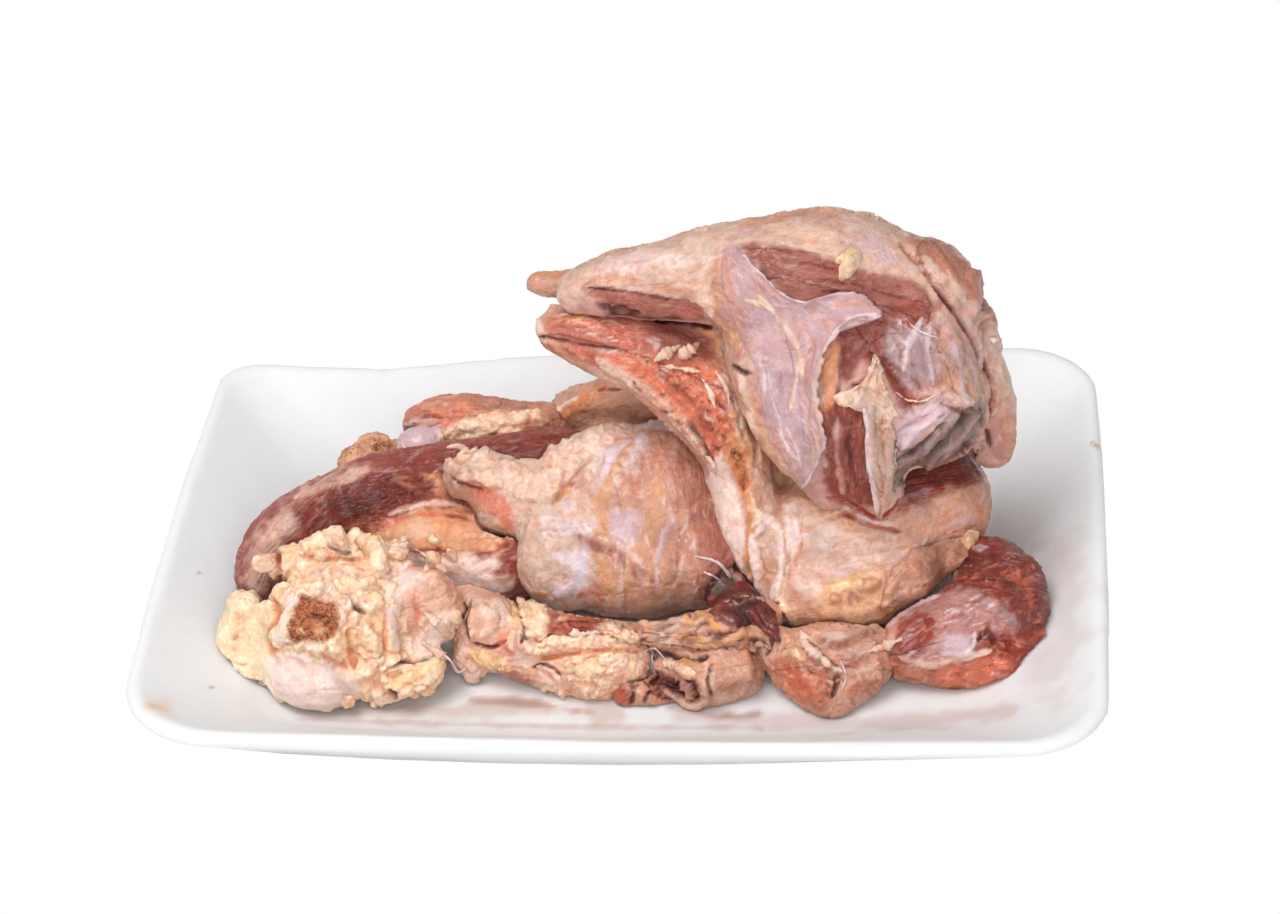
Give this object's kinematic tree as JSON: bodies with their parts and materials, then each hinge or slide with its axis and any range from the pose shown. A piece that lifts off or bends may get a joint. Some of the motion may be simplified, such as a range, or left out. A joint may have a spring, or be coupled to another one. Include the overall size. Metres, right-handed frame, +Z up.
{
  "type": "meat tray pack",
  "caption": "Open white foam tray holding a high, uneven heap of raw meat, fat, skin and sawn bone cuts, to be set down on a counter or shelf.",
  "frame": {"origin": "middle of the tray's flat underside", "axes": "+X along the tray's long side, +Y away from the front, +Z up"},
  "size_m": [0.2434, 0.1744, 0.1094],
  "materials": {
    "foam": "white closed-cell foam, satin, with faint moulding marks and meat juice on its floor",
    "fat": "moist cream to yellow fat and gristle in small lumps, with spongy sawn bone",
    "skin": "moist pale pink and tan skin and membrane with cream fat under it",
    "dark_meat": "moist dark red fibrous muscle with lilac and cream membrane"
  },
  "bodies": {
    "root": {"foam_tray": "foam", "knuckle_joint": "fat", "gristle_knot": "fat", "skin_roll": "skin", "neck_scrap": "skin", "leg_end": "dark_meat", "thigh": "skin", "shoulder_strip": "dark_meat", "back_joint": "dark_meat", "rib_fold": "skin", "rib_plate": "skin", "top_muscle": "dark_meat", "tail_tip": "skin"}
  },
  "joints": []
}
